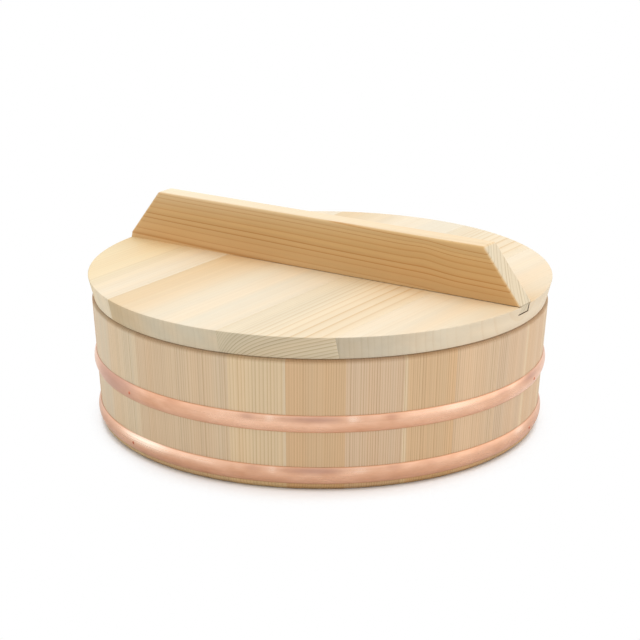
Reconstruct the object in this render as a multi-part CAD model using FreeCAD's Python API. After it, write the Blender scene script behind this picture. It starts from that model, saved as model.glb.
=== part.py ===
import FreeCAD, Part
import math
import os

from FreeCAD import Vector

# A lidded wooden rice tub. Twenty-six tapered staves stand in a ring round a bottom of
# edge-joined boards, and two domed copper hoops hold them, each pinned by three nails.
# A flat lid of edge-joined boards rests on the rim. One long grip batten crosses the lid,
# held by a tongue that slides into a dovetail groove in the boards.
#
# Millimetres, +Z up. The origin is the centre of the foot circle, on the table.
# The grip runs along X, and the lid's boards run along Y.

# --- Tub ---------------------------------------------------------------------------
TUB_HEIGHT = 93.0
RIM_RADIUS = 165.0        # outside of the wall at the rim
FOOT_RADIUS = 159.3       # outside of the wall, carried down to the table
WALL = 14.0               # stave thickness
FOOT_CHAMFER = 3.0        # outer edge of the foot
RIM_CHAMFER = 1.8         # outer edge of the rim
INNER_CHAMFER = 1.0       # inner edges of the rim and the foot
STAVE_COUNT = 26
FIRST_JOINT_DEG = 4.68    # where stave 1 starts, counter-clockwise from +X

# --- Bottom ------------------------------------------------------------------------
BOTTOM_RAISE = 10.0       # underside of the boards above the table
BOTTOM_THICKNESS = 12.0
BOTTOM_BEVEL = 3.0        # underside bevel that thins the edge to fit the groove
CROZE_DEPTH = 4.0         # groove in the staves that holds the bottom
CROZE_CLEARANCE = 0.2     # room for the boards to swell
BOTTOM_JOINTS = (-78.0, -4.0, 72.0)

# --- Hoops and nails ---------------------------------------------------------------
HOOP_WIDTH = 12.0
HOOP_EDGE = 0.4           # thickness at the two edges
HOOP_CROWN = 2.2          # thickness at the middle
UPPER_HOOP_Z = 47.4       # middle of the band
LOWER_HOOP_Z = 10.4
NAIL_DEGS = (9.8, 133.3, 250.6)
NAIL_SHANK_RADIUS = 0.55
NAIL_LENGTH = 7.0         # in the wood, from the wall's face
NAIL_HEAD_RADIUS = 1.2
NAIL_HEAD_HEIGHT = 0.5
NAIL_HEAD_SINK = 0.12     # how far the head is driven into the crown

# --- Lid ---------------------------------------------------------------------------
LID_THICKNESS = 16.3
LID_TOP_RADIUS = 167.6
LID_UNDER_RADIUS = 163.4
LID_EDGE_CHAMFER = 0.6
LID_JOINTS = (-76.0, 27.0, 100.0)

# --- Grip --------------------------------------------------------------------------
GRIP_THICKNESS = 17.0
GRIP_HEIGHT = 38.5        # above the lid's top face
GRIP_LEFT_TOP = -141.1    # where the top face ends, along X
GRIP_RIGHT_TOP = 138.6
GRIP_LEFT_RISE = 3.5      # upright part of each end, before the slope
GRIP_RIGHT_RISE = 0.4
GRIP_CORNER_RADIUS = 3.2  # where the top meets the end slopes
GRIP_ARRIS_RADIUS = 1.0   # round-over along the sides of the top and the slopes
TONGUE_DEPTH = 6.1
TONGUE_NECK = 10.8
TONGUE_FOOT = 13.6
TONGUE_FRONT_GAP = 0.05   # the -Y wall of the groove bears on the tongue
TONGUE_BACK_GAP = 0.4
TONGUE_FLOOR_GAP = 0.45

# --- Bamboo pegs -------------------------------------------------------------------
STAVE_PEG_RADIUS = 1.5
STAVE_PEG_LENGTH = 22.0
STAVE_PEG_HEIGHTS = (32.0, 76.0)
BOARD_PEG_RADIUS = 2.0
BOARD_PEG_LENGTH = 26.0
BOARD_PEG_SPACING = 58.0  # along each joint
LID_PEG_DROP = 9.6        # below the lid's top face, clear of the dovetail groove

# --- Worked out from these ---------------------------------------------------------
STAVE_SWEEP = 360.0 / STAVE_COUNT
WALL_LEAN = math.atan((RIM_RADIUS - FOOT_RADIUS) / TUB_HEIGHT)
BOTTOM_TOP = BOTTOM_RAISE + BOTTOM_THICKNESS
LID_TOP = TUB_HEIGHT + LID_THICKNESS
GRIP_TOP = LID_TOP + GRIP_HEIGHT
REACH = 2.0 * LID_TOP_RADIUS  # longer than any part, for cutting shapes that pass through
TOLERANCE = 0.01
UP = Vector(0, 0, 1)
CENTRE = Vector(0, 0, 0)


def wall_radius(z):
    """Outside radius of the leaning wall at height z."""
    return FOOT_RADIUS + (RIM_RADIUS - FOOT_RADIUS) * z / TUB_HEIGHT


def inner_radius(z):
    return wall_radius(z) - WALL


CROZE_RADIUS = inner_radius(BOTTOM_TOP) + CROZE_DEPTH


def face_of(points):
    """A flat face bounded by straight lines through the points."""
    return Part.Face(Part.makePolygon([*points, points[0]]))


def turned(profile, start_deg=0.0, sweep_deg=360.0):
    """A solid of revolution from (radius, z) points in the XZ plane."""
    face = face_of([Vector(r, 0, z) for r, z in profile])
    face.rotate(CENTRE, UP, start_deg)
    return face.revolve(CENTRE, UP, sweep_deg)


def spin(shape, degrees):
    """A copy of the shape turned about the tub's axis."""
    copy = shape.copy()
    copy.rotate(CENTRE, UP, degrees)
    return copy


def cut_all(shape, cutters):
    """The shape less every cutter that comes near it."""
    near = [cutter for cutter in cutters if shape.BoundBox.intersect(cutter.BoundBox)]
    return shape.cut(near) if near else shape


def single_solid(shape):
    """The one solid in a boolean's result, without leftover compounds."""
    solids = shape.removeSplitter().Solids
    if len(solids) != 1:
        raise ValueError(f"expected one solid, found {len(solids)}")
    return solids[0]


# --- Pegs and nails ----------------------------------------------------------------
def stave_pegs():
    """Bamboo pegs across every joint of the wall, halfway through its thickness."""
    pegs = []
    for z in STAVE_PEG_HEIGHTS:
        middle = wall_radius(z) - WALL / 2
        start = Vector(middle, -STAVE_PEG_LENGTH / 2, z)
        peg = Part.makeCylinder(STAVE_PEG_RADIUS, STAVE_PEG_LENGTH, start, Vector(0, 1, 0))
        for i in range(STAVE_COUNT):
            pegs.append(spin(peg, FIRST_JOINT_DEG + i * STAVE_SWEEP))
    return pegs


def board_pegs(joints, radius, z):
    """Bamboo pegs along X across the straight joints of a round board of this radius."""
    pegs = []
    for x in joints:
        half_chord = math.sqrt(radius**2 - x**2)
        pairs = int(half_chord // BOARD_PEG_SPACING)
        for row in range(pairs):
            for side in (-1, 1):
                y = side * (row + 0.5) * BOARD_PEG_SPACING
                start = Vector(x - BOARD_PEG_LENGTH / 2, y, z)
                pegs.append(Part.makeCylinder(BOARD_PEG_RADIUS, BOARD_PEG_LENGTH, start, Vector(1, 0, 0)))
    return pegs


def nail(z, degrees):
    """A domed nail through a hoop at height z, square to the leaning wall."""
    head_base = HOOP_CROWN - NAIL_HEAD_SINK
    dome_radius = (NAIL_HEAD_RADIUS**2 + NAIL_HEAD_HEIGHT**2) / (2 * NAIL_HEAD_HEIGHT)
    dome_centre = head_base + NAIL_HEAD_HEIGHT - dome_radius
    half_angle = math.asin(NAIL_HEAD_RADIUS / dome_radius) / 2
    crown = Vector(0, 0, head_base + NAIL_HEAD_HEIGHT)
    rim = Vector(NAIL_HEAD_RADIUS, 0, head_base)
    shoulder = Vector(
        dome_radius * math.sin(half_angle),
        0,
        dome_centre + dome_radius * math.cos(half_angle),
    )
    sides = Part.makePolygon([
        crown,
        Vector(0, 0, -NAIL_LENGTH),
        Vector(NAIL_SHANK_RADIUS, 0, 2 * NAIL_SHANK_RADIUS - NAIL_LENGTH),
        Vector(NAIL_SHANK_RADIUS, 0, head_base),
        rim,
    ])
    dome = Part.Arc(rim, shoulder, crown).toShape()
    shape = Part.Face(Part.Wire([*sides.Edges, dome])).revolve(CENTRE, UP, 360)
    # The nail's own axis turns from +Z to the wall's outward normal.
    shape.rotate(CENTRE, Vector(0, 1, 0), 90 + math.degrees(WALL_LEAN))
    shape.translate(Vector(wall_radius(z), 0, z))
    return spin(shape, degrees)


def hoop_nails(z):
    return [nail(z, degrees) for degrees in NAIL_DEGS]


# --- Tub ---------------------------------------------------------------------------
def wall_profile():
    """Section of a stave: leaning wall, eased edges and the groove for the bottom."""
    groove_low = BOTTOM_RAISE + BOTTOM_BEVEL
    return [
        (inner_radius(0) + INNER_CHAMFER, 0),
        (wall_radius(FOOT_CHAMFER) - FOOT_CHAMFER, 0),
        (wall_radius(FOOT_CHAMFER), FOOT_CHAMFER),
        (wall_radius(TUB_HEIGHT - RIM_CHAMFER), TUB_HEIGHT - RIM_CHAMFER),
        (RIM_RADIUS - RIM_CHAMFER, TUB_HEIGHT),
        (inner_radius(TUB_HEIGHT) + INNER_CHAMFER, TUB_HEIGHT),
        (inner_radius(TUB_HEIGHT - INNER_CHAMFER), TUB_HEIGHT - INNER_CHAMFER),
        (inner_radius(BOTTOM_TOP), BOTTOM_TOP),
        (CROZE_RADIUS, BOTTOM_TOP),
        (CROZE_RADIUS, groove_low),
        (inner_radius(groove_low), groove_low),
        (inner_radius(INNER_CHAMFER), INNER_CHAMFER),
    ]


def stave(index, cutters):
    start = FIRST_JOINT_DEG + index * STAVE_SWEEP
    blank = turned(wall_profile(), start, STAVE_SWEEP)
    return single_solid(cut_all(blank, cutters))


def hoop(z, nails):
    """A copper band whose flat back lies on the wall and whose face is domed."""
    normal = Vector(math.cos(WALL_LEAN), 0, -math.sin(WALL_LEAN))
    along = Vector(math.sin(WALL_LEAN), 0, math.cos(WALL_LEAN))
    middle = Vector(wall_radius(z), 0, z)
    low = middle - along * (HOOP_WIDTH / 2)
    high = middle + along * (HOOP_WIDTH / 2)
    low_edge = low + normal * HOOP_EDGE
    high_edge = high + normal * HOOP_EDGE
    sides = Part.makePolygon([low_edge, low, high, high_edge])
    dome = Part.Arc(high_edge, middle + normal * HOOP_CROWN, low_edge).toShape()
    section = Part.Face(Part.Wire([*sides.Edges, dome]))
    return single_solid(section.revolve(CENTRE, UP, 360).cut(nails))


# --- Boards ------------------------------------------------------------------------
def split_boards(disc, joints, cutters):
    """The round board sawn at its straight joints, each piece with its own holes."""
    edges = [-REACH, *joints, REACH]
    boards = []
    for left, right in zip(edges, edges[1:]):
        slab = Part.makeBox(right - left, 2 * REACH, REACH, Vector(left, -REACH, 0))
        boards.append(single_solid(cut_all(disc.common(slab), cutters)))
    return boards


def bottom_disc():
    edge = CROZE_RADIUS - CROZE_CLEARANCE
    return turned([
        (0, BOTTOM_RAISE),
        (inner_radius(BOTTOM_RAISE) - CROZE_CLEARANCE, BOTTOM_RAISE),
        (inner_radius(BOTTOM_RAISE) - CROZE_CLEARANCE, BOTTOM_RAISE + BOTTOM_BEVEL),
        (edge, BOTTOM_RAISE + BOTTOM_BEVEL),
        (edge, BOTTOM_TOP),
        (0, BOTTOM_TOP),
    ])


def lid_disc():
    ease = LID_EDGE_CHAMFER
    return turned([
        (0, TUB_HEIGHT),
        (LID_UNDER_RADIUS - ease, TUB_HEIGHT),
        (LID_UNDER_RADIUS, TUB_HEIGHT + ease),
        (LID_TOP_RADIUS, LID_TOP - ease),
        (LID_TOP_RADIUS - ease, LID_TOP),
        (0, LID_TOP),
    ])


def dovetail(front_gap=0.0, back_gap=0.0, floor_gap=0.0):
    """A bar along X that widens downwards from the lid's top face, with room round it."""
    neck = TONGUE_NECK / 2
    depth = TONGUE_DEPTH + floor_gap
    foot = neck + (TONGUE_FOOT - TONGUE_NECK) / 2 * depth / TONGUE_DEPTH
    floor = LID_TOP - depth
    section = face_of([
        Vector(-REACH / 2, -neck - front_gap, LID_TOP),
        Vector(-REACH / 2, -foot - front_gap, floor),
        Vector(-REACH / 2, foot + back_gap, floor),
        Vector(-REACH / 2, neck + back_gap, LID_TOP),
    ])
    return section.extrude(Vector(REACH, 0, 0))


# --- Grip --------------------------------------------------------------------------
def grip_outline():
    """The batten's long outline, from its lower right corner over the top."""
    return [
        (LID_TOP_RADIUS, LID_TOP),
        (LID_TOP_RADIUS, LID_TOP + GRIP_RIGHT_RISE),
        (GRIP_RIGHT_TOP, GRIP_TOP),
        (GRIP_LEFT_TOP, GRIP_TOP),
        (-LID_TOP_RADIUS, LID_TOP + GRIP_LEFT_RISE),
        (-LID_TOP_RADIUS, LID_TOP),
    ]


def top_corners(batten):
    """The two edges across the batten where its top meets the end slopes."""
    return [
        edge for edge in batten.Edges
        if edge.BoundBox.ZMin > GRIP_TOP - TOLERANCE and edge.BoundBox.XLength < TOLERANCE
    ]


def upper_arrises(batten):
    """The edges along both sides of the batten, over its slopes and its top."""
    return [
        edge for edge in batten.Edges
        if edge.BoundBox.ZMax > LID_TOP + GRIP_HEIGHT / 2 and edge.BoundBox.YLength < TOLERANCE
    ]


def grip():
    front = [Vector(x, -GRIP_THICKNESS / 2, z) for x, z in grip_outline()]
    batten = face_of(front).extrude(Vector(0, GRIP_THICKNESS, 0))
    batten = batten.makeFillet(GRIP_CORNER_RADIUS, top_corners(batten))
    batten = batten.makeFillet(GRIP_ARRIS_RADIUS, upper_arrises(batten))
    lid_column = Part.makeCylinder(LID_TOP_RADIUS, REACH)
    tongue = dovetail().common(lid_disc())
    return single_solid(batten.common(lid_column).fuse(tongue))


# --- Write the parts ---------------------------------------------------------------
def export(name, shape):
    if not shape.isValid():
        raise ValueError(f"{name} is not a valid shape")
    shape.exportStep(f"parts/{name}.step")


def build_tub():
    pegs = stave_pegs()
    upper_nails = hoop_nails(UPPER_HOOP_Z)
    lower_nails = hoop_nails(LOWER_HOOP_Z)
    cutters = [*pegs, *upper_nails, *lower_nails]
    for i in range(STAVE_COUNT):
        export(f"stave_{i + 1:02d}", stave(i, cutters))
    export("stave_pegs", Part.makeCompound(pegs))
    export("upper_hoop", hoop(UPPER_HOOP_Z, upper_nails))
    export("lower_hoop", hoop(LOWER_HOOP_Z, lower_nails))
    export("upper_hoop_nails", Part.makeCompound(upper_nails))
    export("lower_hoop_nails", Part.makeCompound(lower_nails))

    middle = BOTTOM_RAISE + BOTTOM_THICKNESS / 2
    bottom_pegs = board_pegs(BOTTOM_JOINTS, CROZE_RADIUS, middle)
    for i, board in enumerate(split_boards(bottom_disc(), BOTTOM_JOINTS, bottom_pegs)):
        export(f"bottom_board_{i + 1}", board)
    export("bottom_pegs", Part.makeCompound(bottom_pegs))


def build_lid():
    lid_pegs = board_pegs(LID_JOINTS, LID_UNDER_RADIUS, LID_TOP - LID_PEG_DROP)
    groove = dovetail(TONGUE_FRONT_GAP, TONGUE_BACK_GAP, TONGUE_FLOOR_GAP)
    for i, board in enumerate(split_boards(lid_disc(), LID_JOINTS, [groove, *lid_pegs])):
        export(f"lid_board_{i + 1}", board)
    export("lid_pegs", Part.makeCompound(lid_pegs))
    export("lid_handle", grip())


os.makedirs("parts", exist_ok=True)
build_tub()
build_lid()
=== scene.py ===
import math
import random

import bmesh
import bpy
import numpy as np
from mathutils import Matrix, Vector


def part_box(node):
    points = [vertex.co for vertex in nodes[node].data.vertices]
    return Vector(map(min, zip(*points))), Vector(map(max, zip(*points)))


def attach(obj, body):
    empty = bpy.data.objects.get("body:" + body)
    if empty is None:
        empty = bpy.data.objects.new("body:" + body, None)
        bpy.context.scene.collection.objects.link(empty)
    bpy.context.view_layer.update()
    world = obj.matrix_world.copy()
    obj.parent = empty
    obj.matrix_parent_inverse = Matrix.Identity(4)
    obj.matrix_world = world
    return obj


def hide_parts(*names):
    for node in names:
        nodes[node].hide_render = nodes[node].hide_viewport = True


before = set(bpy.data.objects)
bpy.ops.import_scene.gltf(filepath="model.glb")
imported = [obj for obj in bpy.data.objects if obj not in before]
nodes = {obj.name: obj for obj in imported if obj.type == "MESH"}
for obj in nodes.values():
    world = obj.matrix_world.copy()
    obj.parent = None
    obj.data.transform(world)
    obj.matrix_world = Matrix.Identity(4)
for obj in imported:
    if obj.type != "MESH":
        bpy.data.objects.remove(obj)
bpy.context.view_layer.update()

# Looks of a lidded wooden rice tub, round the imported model. Blender works in metres, and
# this script measures in millimetres, so MM turns one into the other.
# Wood pieces carry a "grain" attribute: two distances across the tree from its pith and
# one along the trunk, so that every cut face shows the rings it would show in real wood.

MM = 0.001


# --- Sizes read from the frame ---
def vertices_of(ob):
    co = np.empty(len(ob.data.vertices) * 3)
    ob.data.vertices.foreach_get("co", co)
    return co.reshape(-1, 3) / MM


def vertices_mm(node):
    return vertices_of(nodes[node])


def box_mm(node):
    low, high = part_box(node)
    return low / MM, high / MM


def ring_point(node, low, high, farthest=True):
    """(radius, height) of the CAD vertex between two heights farthest from or nearest to the axis."""
    co = vertices_mm(node)
    co = co[(co[:, 2] >= low - 0.01) & (co[:, 2] <= high + 0.01)]
    radius = np.hypot(co[:, 0], co[:, 1])
    i = radius.argmax() if farthest else radius.argmin()
    return float(radius[i]), float(co[i, 2])


STAVES = sorted(n for n in nodes if n.startswith("stave_") and n[6:].isdigit())
LID_BOARDS = sorted(n for n in nodes if n.startswith("lid_board_"))
BOTTOM_BOARDS = sorted(n for n in nodes if n.startswith("bottom_board_"))

TUB_TOP = box_mm("stave_01")[1].z
EDGE_ZONE = 5.0  # every eased edge of the wall lies within this of its top or foot
FOOT_OUT = ring_point("stave_01", 0, 0)
FOOT_CORNER = ring_point("stave_01", 0, EDGE_ZONE)
RIM_CORNER = ring_point("stave_01", TUB_TOP - EDGE_ZONE, TUB_TOP)
RIM_OUT = ring_point("stave_01", TUB_TOP, TUB_TOP)
RIM_IN = ring_point("stave_01", TUB_TOP, TUB_TOP, farthest=False)
INNER_TOP = ring_point("stave_01", TUB_TOP - EDGE_ZONE, TUB_TOP, farthest=False)
INNER_FOOT = ring_point("stave_01", 0, EDGE_ZONE, farthest=False)
FOOT_IN = ring_point("stave_01", 0, 0, farthest=False)
WALL_SLOPE = (RIM_CORNER[0] - FOOT_CORNER[0]) / (RIM_CORNER[1] - FOOT_CORNER[1])
WALL_LEAN = math.atan(WALL_SLOPE)
STAVE_SWEEP = math.tau / len(STAVES)
BOTTOM_LOW = box_mm("bottom_board_2")[0].z
BOTTOM_TOP = box_mm("bottom_board_2")[1].z
BOTTOM_EDGE = ring_point("bottom_board_2", BOTTOM_TOP, BOTTOM_TOP)
BOTTOM_UNDER = ring_point("bottom_board_2", BOTTOM_LOW, BOTTOM_LOW)

LID_LOW = box_mm("lid_board_2")[0].z
LID_TOP = box_mm("lid_board_2")[1].z
LID_UNDER_RADIUS = ring_point("lid_board_2", LID_LOW, LID_LOW + 1)[0]
LID_TOP_RADIUS = ring_point("lid_board_2", LID_TOP - 1, LID_TOP)[0]
LID_JOINTS = [box_mm(n)[1].x for n in LID_BOARDS[:-1]]
BOTTOM_JOINTS = [box_mm(n)[1].x for n in BOTTOM_BOARDS[:-1]]

GRIP_LOW, GRIP_HIGH = box_mm("lid_handle")


def wall_radius(z):
    return FOOT_CORNER[0] + WALL_SLOPE * (z - FOOT_CORNER[1])


def inner_radius(z):
    return INNER_FOOT[0] + WALL_SLOPE * (z - INNER_FOOT[1])


# --- Mesh helpers ---
SMOOTH_ANGLE = math.radians(32)
EASED_ANGLE = math.radians(50)


def linked(name, data):
    """A new object in the scene."""
    ob = bpy.data.objects.new(name, data)
    bpy.context.scene.collection.objects.link(ob)
    return ob


def mesh_object(name, verts_mm, faces):
    mesh = bpy.data.meshes.new(name)
    mesh.from_pydata([tuple(c * MM for c in v) for v in verts_mm], [], faces)
    mesh.validate()
    ob = linked(name, mesh)
    face_outwards(ob)
    return ob


def face_outwards(ob):
    bm = bmesh.new()
    bm.from_mesh(ob.data)
    bmesh.ops.recalc_face_normals(bm, faces=bm.faces)
    bm.to_mesh(ob.data)
    bm.free()


def settle(ob):
    """Applies the object's modifiers to its mesh."""
    graph = bpy.context.evaluated_depsgraph_get()
    mesh = bpy.data.meshes.new_from_object(ob.evaluated_get(graph), depsgraph=graph)
    ob.modifiers.clear()
    old = ob.data
    ob.data = mesh
    bpy.data.meshes.remove(old)
    mesh.name = ob.name
    return ob


def boolean(ob, other, operation):
    mod = ob.modifiers.new("cut", "BOOLEAN")
    mod.operation = operation
    mod.solver = "EXACT"
    mod.object = other
    settle(ob)


def discard(*objects):
    for ob in objects:
        bpy.data.objects.remove(ob)


def eased(ob, width):
    """Softens every sharp edge, by width in millimetres."""
    mod = ob.modifiers.new("ease", "BEVEL")
    mod.width = width * MM
    mod.segments = 2
    mod.limit_method = "ANGLE"
    mod.angle_limit = EASED_ANGLE
    mod.use_clamp_overlap = False
    return settle(ob)


def rounded(corners, steps=3):
    """An outline through (x, y, radius) corners with each corner turned into an arc."""
    out = []
    count = len(corners)
    for i, (x, y, radius) in enumerate(corners):
        here = Vector((x, y))
        if radius <= 0:
            out.append(tuple(here))
            continue
        back = (Vector(corners[i - 1][:2]) - here).normalized()
        ahead = (Vector(corners[(i + 1) % count][:2]) - here).normalized()
        half = back.angle(ahead) / 2
        run = radius / math.tan(half)
        centre = here + (back + ahead).normalized() * (radius / math.sin(half))
        first = here + back * run - centre
        last = here + ahead * run - centre
        turn = first.angle_signed(last)
        for step in range(steps + 1):
            swung = Matrix.Rotation(-turn * step / steps, 2) @ first
            out.append(tuple(centre + swung))
    return out


def inset(outline, distance):
    """A closed outline moved inwards by distance. The outline runs counter-clockwise."""
    moved = []
    count = len(outline)
    for i, point in enumerate(outline):
        before = Vector(outline[i - 1])
        here = Vector(point)
        after = Vector(outline[(i + 1) % count])
        edge_a = (here - before).normalized()
        edge_b = (after - here).normalized()
        normal = Vector((-(edge_a + edge_b).y, (edge_a + edge_b).x)).normalized()
        moved.append(tuple(here + normal * distance))
    return moved


def swept(outlines, angles):
    """Vertices and faces of section outlines of (radius, height) set at angles round the axis."""
    verts = []
    faces = []
    count = len(outlines[0])
    for outline, angle in zip(outlines, angles):
        for radius, z in outline:
            verts.append((radius * math.cos(angle), radius * math.sin(angle), z))
    last = (len(angles) - 1) * count
    for here in range(0, last, count):
        there = here + count
        for i in range(count):
            j = (i + 1) % count
            faces.append((here + i, here + j, there + j, there + i))
    faces.append(tuple(range(count)))
    faces.append(tuple(reversed(range(last, last + count))))
    return verts, faces


def turned_disc(name, outline, steps):
    """A solid of revolution whose outline starts and ends on the axis."""
    bm = bmesh.new()
    verts = [bm.verts.new((r * MM, 0, z * MM)) for r, z in outline]
    edges = [bm.edges.new(pair) for pair in zip(verts, verts[1:])]
    bmesh.ops.spin(bm, geom=verts + edges, cent=(0, 0, 0), axis=(0, 0, 1), angle=math.tau,
                   steps=steps, use_merge=True)
    bmesh.ops.remove_doubles(bm, verts=bm.verts, dist=0.001 * MM)
    mesh = bpy.data.meshes.new(name)
    bm.to_mesh(mesh)
    bm.free()
    ob = linked(name, mesh)
    face_outwards(ob)
    return ob


def scored(ob, axis, places):
    """Divides the object's faces at places along an axis, so that curved grain can follow them."""
    bm = bmesh.new()
    bm.from_mesh(ob.data)
    normal = Vector((0, 0, 0))
    normal[axis] = 1.0
    for place in places:
        parts = bm.verts[:] + bm.edges[:] + bm.faces[:]
        bmesh.ops.bisect_plane(bm, geom=parts, plane_co=normal * place * MM, plane_no=normal)
    bm.to_mesh(ob.data)
    bm.free()


def slab(x0, x1, reach, z0, z1):
    """A box from x0 to x1 that passes right through the part in the other directions."""
    around = ((x0, -reach), (x1, -reach), (x1, reach), (x0, reach))
    corners = [(x, y, z) for z in (z0, z1) for x, y in around]
    faces = [(3, 2, 1, 0), (4, 5, 6, 7), (0, 1, 5, 4), (1, 2, 6, 5), (2, 3, 7, 6), (3, 0, 4, 7)]
    return mesh_object("slab", corners, faces)


def bar_along_x(section, half_length_at):
    """A bar along X from a (y, z) section, whose half length is given at each of its points."""
    count = len(section)
    verts = [(-half_length_at(y, z), y, z) for y, z in section]
    verts += [(half_length_at(y, z), y, z) for y, z in section]
    faces = [(i, (i + 1) % count, (i + 1) % count + count, i + count) for i in range(count)]
    faces.append(tuple(range(count)))
    faces.append(tuple(range(count, 2 * count)))
    return mesh_object("bar", verts, faces)


# --- Grain ---
def set_grain(ob, grain_at, trunk_at, **extra):
    """Stores where each point lies in its tree, and how squarely each face cuts across the fibres.

    Each extra is a value's name and a function that gives it from places and normals.
    """
    mesh = ob.data
    mesh.polygons.foreach_set("use_smooth", [True] * len(mesh.polygons))
    mesh.set_sharp_from_angle(angle=SMOOTH_ANGLE)
    co = vertices_of(ob)
    grain = mesh.attributes.new("grain", "FLOAT_VECTOR", "POINT")
    grain.data.foreach_set("vector", grain_at(co).astype(np.float32).ravel())
    normals = np.empty(len(mesh.loops) * 3)
    mesh.corner_normals.foreach_get("vector", normals)
    normals = normals.reshape(-1, 3)
    loop_vertex = np.empty(len(mesh.loops), int)
    mesh.loops.foreach_get("vertex_index", loop_vertex)
    across = np.abs((normals * trunk_at(co)[loop_vertex]).sum(1))
    values = {"end_grain": across}
    for name, value_at in extra.items():
        values[name] = value_at(co[loop_vertex], normals)
    for name, value in values.items():
        attribute = mesh.attributes.new(name, "FLOAT", "CORNER")
        attribute.data.foreach_set("value", value.astype(np.float32))


def dress(ob, body, stands_for, slot, material, **values):
    """Puts the piece on its body in place of the CAD nodes, with its material and its own values."""
    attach(ob, body)
    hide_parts(*stands_for)
    ob.data.materials.clear()
    ob.data.materials.append(material)
    for key, value in values.items():
        ob[key] = float(value)


# --- Shader helpers ---
class Nodes:
    """The node tree of a new material or world, built from sockets or plain numbers."""

    def __init__(self, owner):
        owner.use_nodes = True
        self.owner = owner
        self.tree = owner.node_tree
        self.tree.nodes.clear()

    def add(self, kind, inputs=None, **settings):
        node = self.tree.nodes.new(kind)
        for key, value in settings.items():
            setattr(node, key, value)
        for key, value in (inputs or {}).items():
            if isinstance(value, bpy.types.NodeSocket):
                self.tree.links.new(value, node.inputs[key])
            else:
                node.inputs[key].default_value = value
        return node

    def math(self, operation, a, b=0.0, c=0.0):
        return self.add("ShaderNodeMath", {0: a, 1: b, 2: c}, operation=operation).outputs[0]

    def times(self, a, b):
        return self.math("MULTIPLY", a, b)

    def plus(self, a, b):
        return self.math("ADD", a, b)

    def scaled(self, a, factor, offset):
        return self.math("MULTIPLY_ADD", a, factor, offset)

    def vector(self, operation, a, b=(0, 0, 0)):
        node = self.add("ShaderNodeVectorMath", {0: a, 1: b}, operation=operation)
        return node.outputs["Value" if operation in ("LENGTH", "DOT_PRODUCT") else "Vector"]

    def joined(self, x, y, z):
        return self.add("ShaderNodeCombineXYZ", {0: x, 1: y, 2: z}).outputs[0]

    def parts(self, vector):
        return self.add("ShaderNodeSeparateXYZ", {0: vector}).outputs

    def stored(self, name):
        """A value stored on the mesh."""
        return self.add("ShaderNodeAttribute", attribute_type="GEOMETRY", attribute_name=name).outputs

    def own(self, name):
        """A number stored on the object."""
        node = self.add("ShaderNodeAttribute", attribute_type="OBJECT", attribute_name=name)
        return node.outputs["Fac"]

    def noise(self, vector, size, detail=2.0, roughness=0.5):
        """Noise from -0.5 to 0.5 whose lumps measure size millimetres along each axis."""
        scaled = self.vector("DIVIDE", vector, size)
        node = self.add("ShaderNodeTexNoise", {
            "Vector": scaled, "Scale": 1.0, "Detail": detail, "Roughness": roughness,
        })
        return self.math("SUBTRACT", node.outputs["Fac"], 0.5)

    def ramp(self, value, low, high, to_low=0.0, to_high=1.0):
        """A smooth step from to_low to to_high as value goes from low to high."""
        return self.add("ShaderNodeMapRange", {
            "Value": value, "From Min": low, "From Max": high, "To Min": to_low, "To Max": to_high,
        }, interpolation_type="SMOOTHSTEP").outputs["Result"]

    def mix(self, factor, a, b, blend="MIX"):
        node = self.add("ShaderNodeMix", data_type="RGBA", blend_type=blend)
        for key, value in ((0, factor), (6, a), (7, b)):
            if isinstance(value, bpy.types.NodeSocket):
                self.tree.links.new(value, node.inputs[key])
            else:
                node.inputs[key].default_value = value
        return node.outputs[2]

    def grey(self, value):
        return self.joined(value, value, value)

    def finish(self, **inputs):
        shader = self.add("ShaderNodeBsdfPrincipled", inputs)
        self.add("ShaderNodeOutputMaterial", {"Surface": shader.outputs[0]})
        return self.owner


def rgba(red, green, blue):
    """A colour from its display values of 0 to 255."""
    def linear(c):
        c /= 255
        return c / 12.92 if c <= 0.04045 else ((c + 0.055) / 1.055) ** 2.4
    return (linear(red), linear(green), linear(blue), 1.0)


# --- Wood ---
# Tints that multiply a wood's colour.
# Painted shade on the lid's top close to the grip, and on the grip's sides.
GRIP_SHADE_TINT = (0.93, 0.82, 0.66, 1.0)
# Painted shade on the rim's outer edge, under the lid's overhang.
RIM_SHADE_TINT = (0.66, 0.57, 0.49, 1.0)
# Darkens the staves' foot, behind the lower hoop.
STAVE_FOOT_TINT = (0.86, 0.77, 0.60, 1.0)
# Painted shade in the grip's groove, and on the grip's underside and tongue.
GAP_SHADE_TINT = (0.20, 0.12, 0.09, 1.0)
END_LATE = (0.74, 0.70, 0.60, 1.0)


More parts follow.
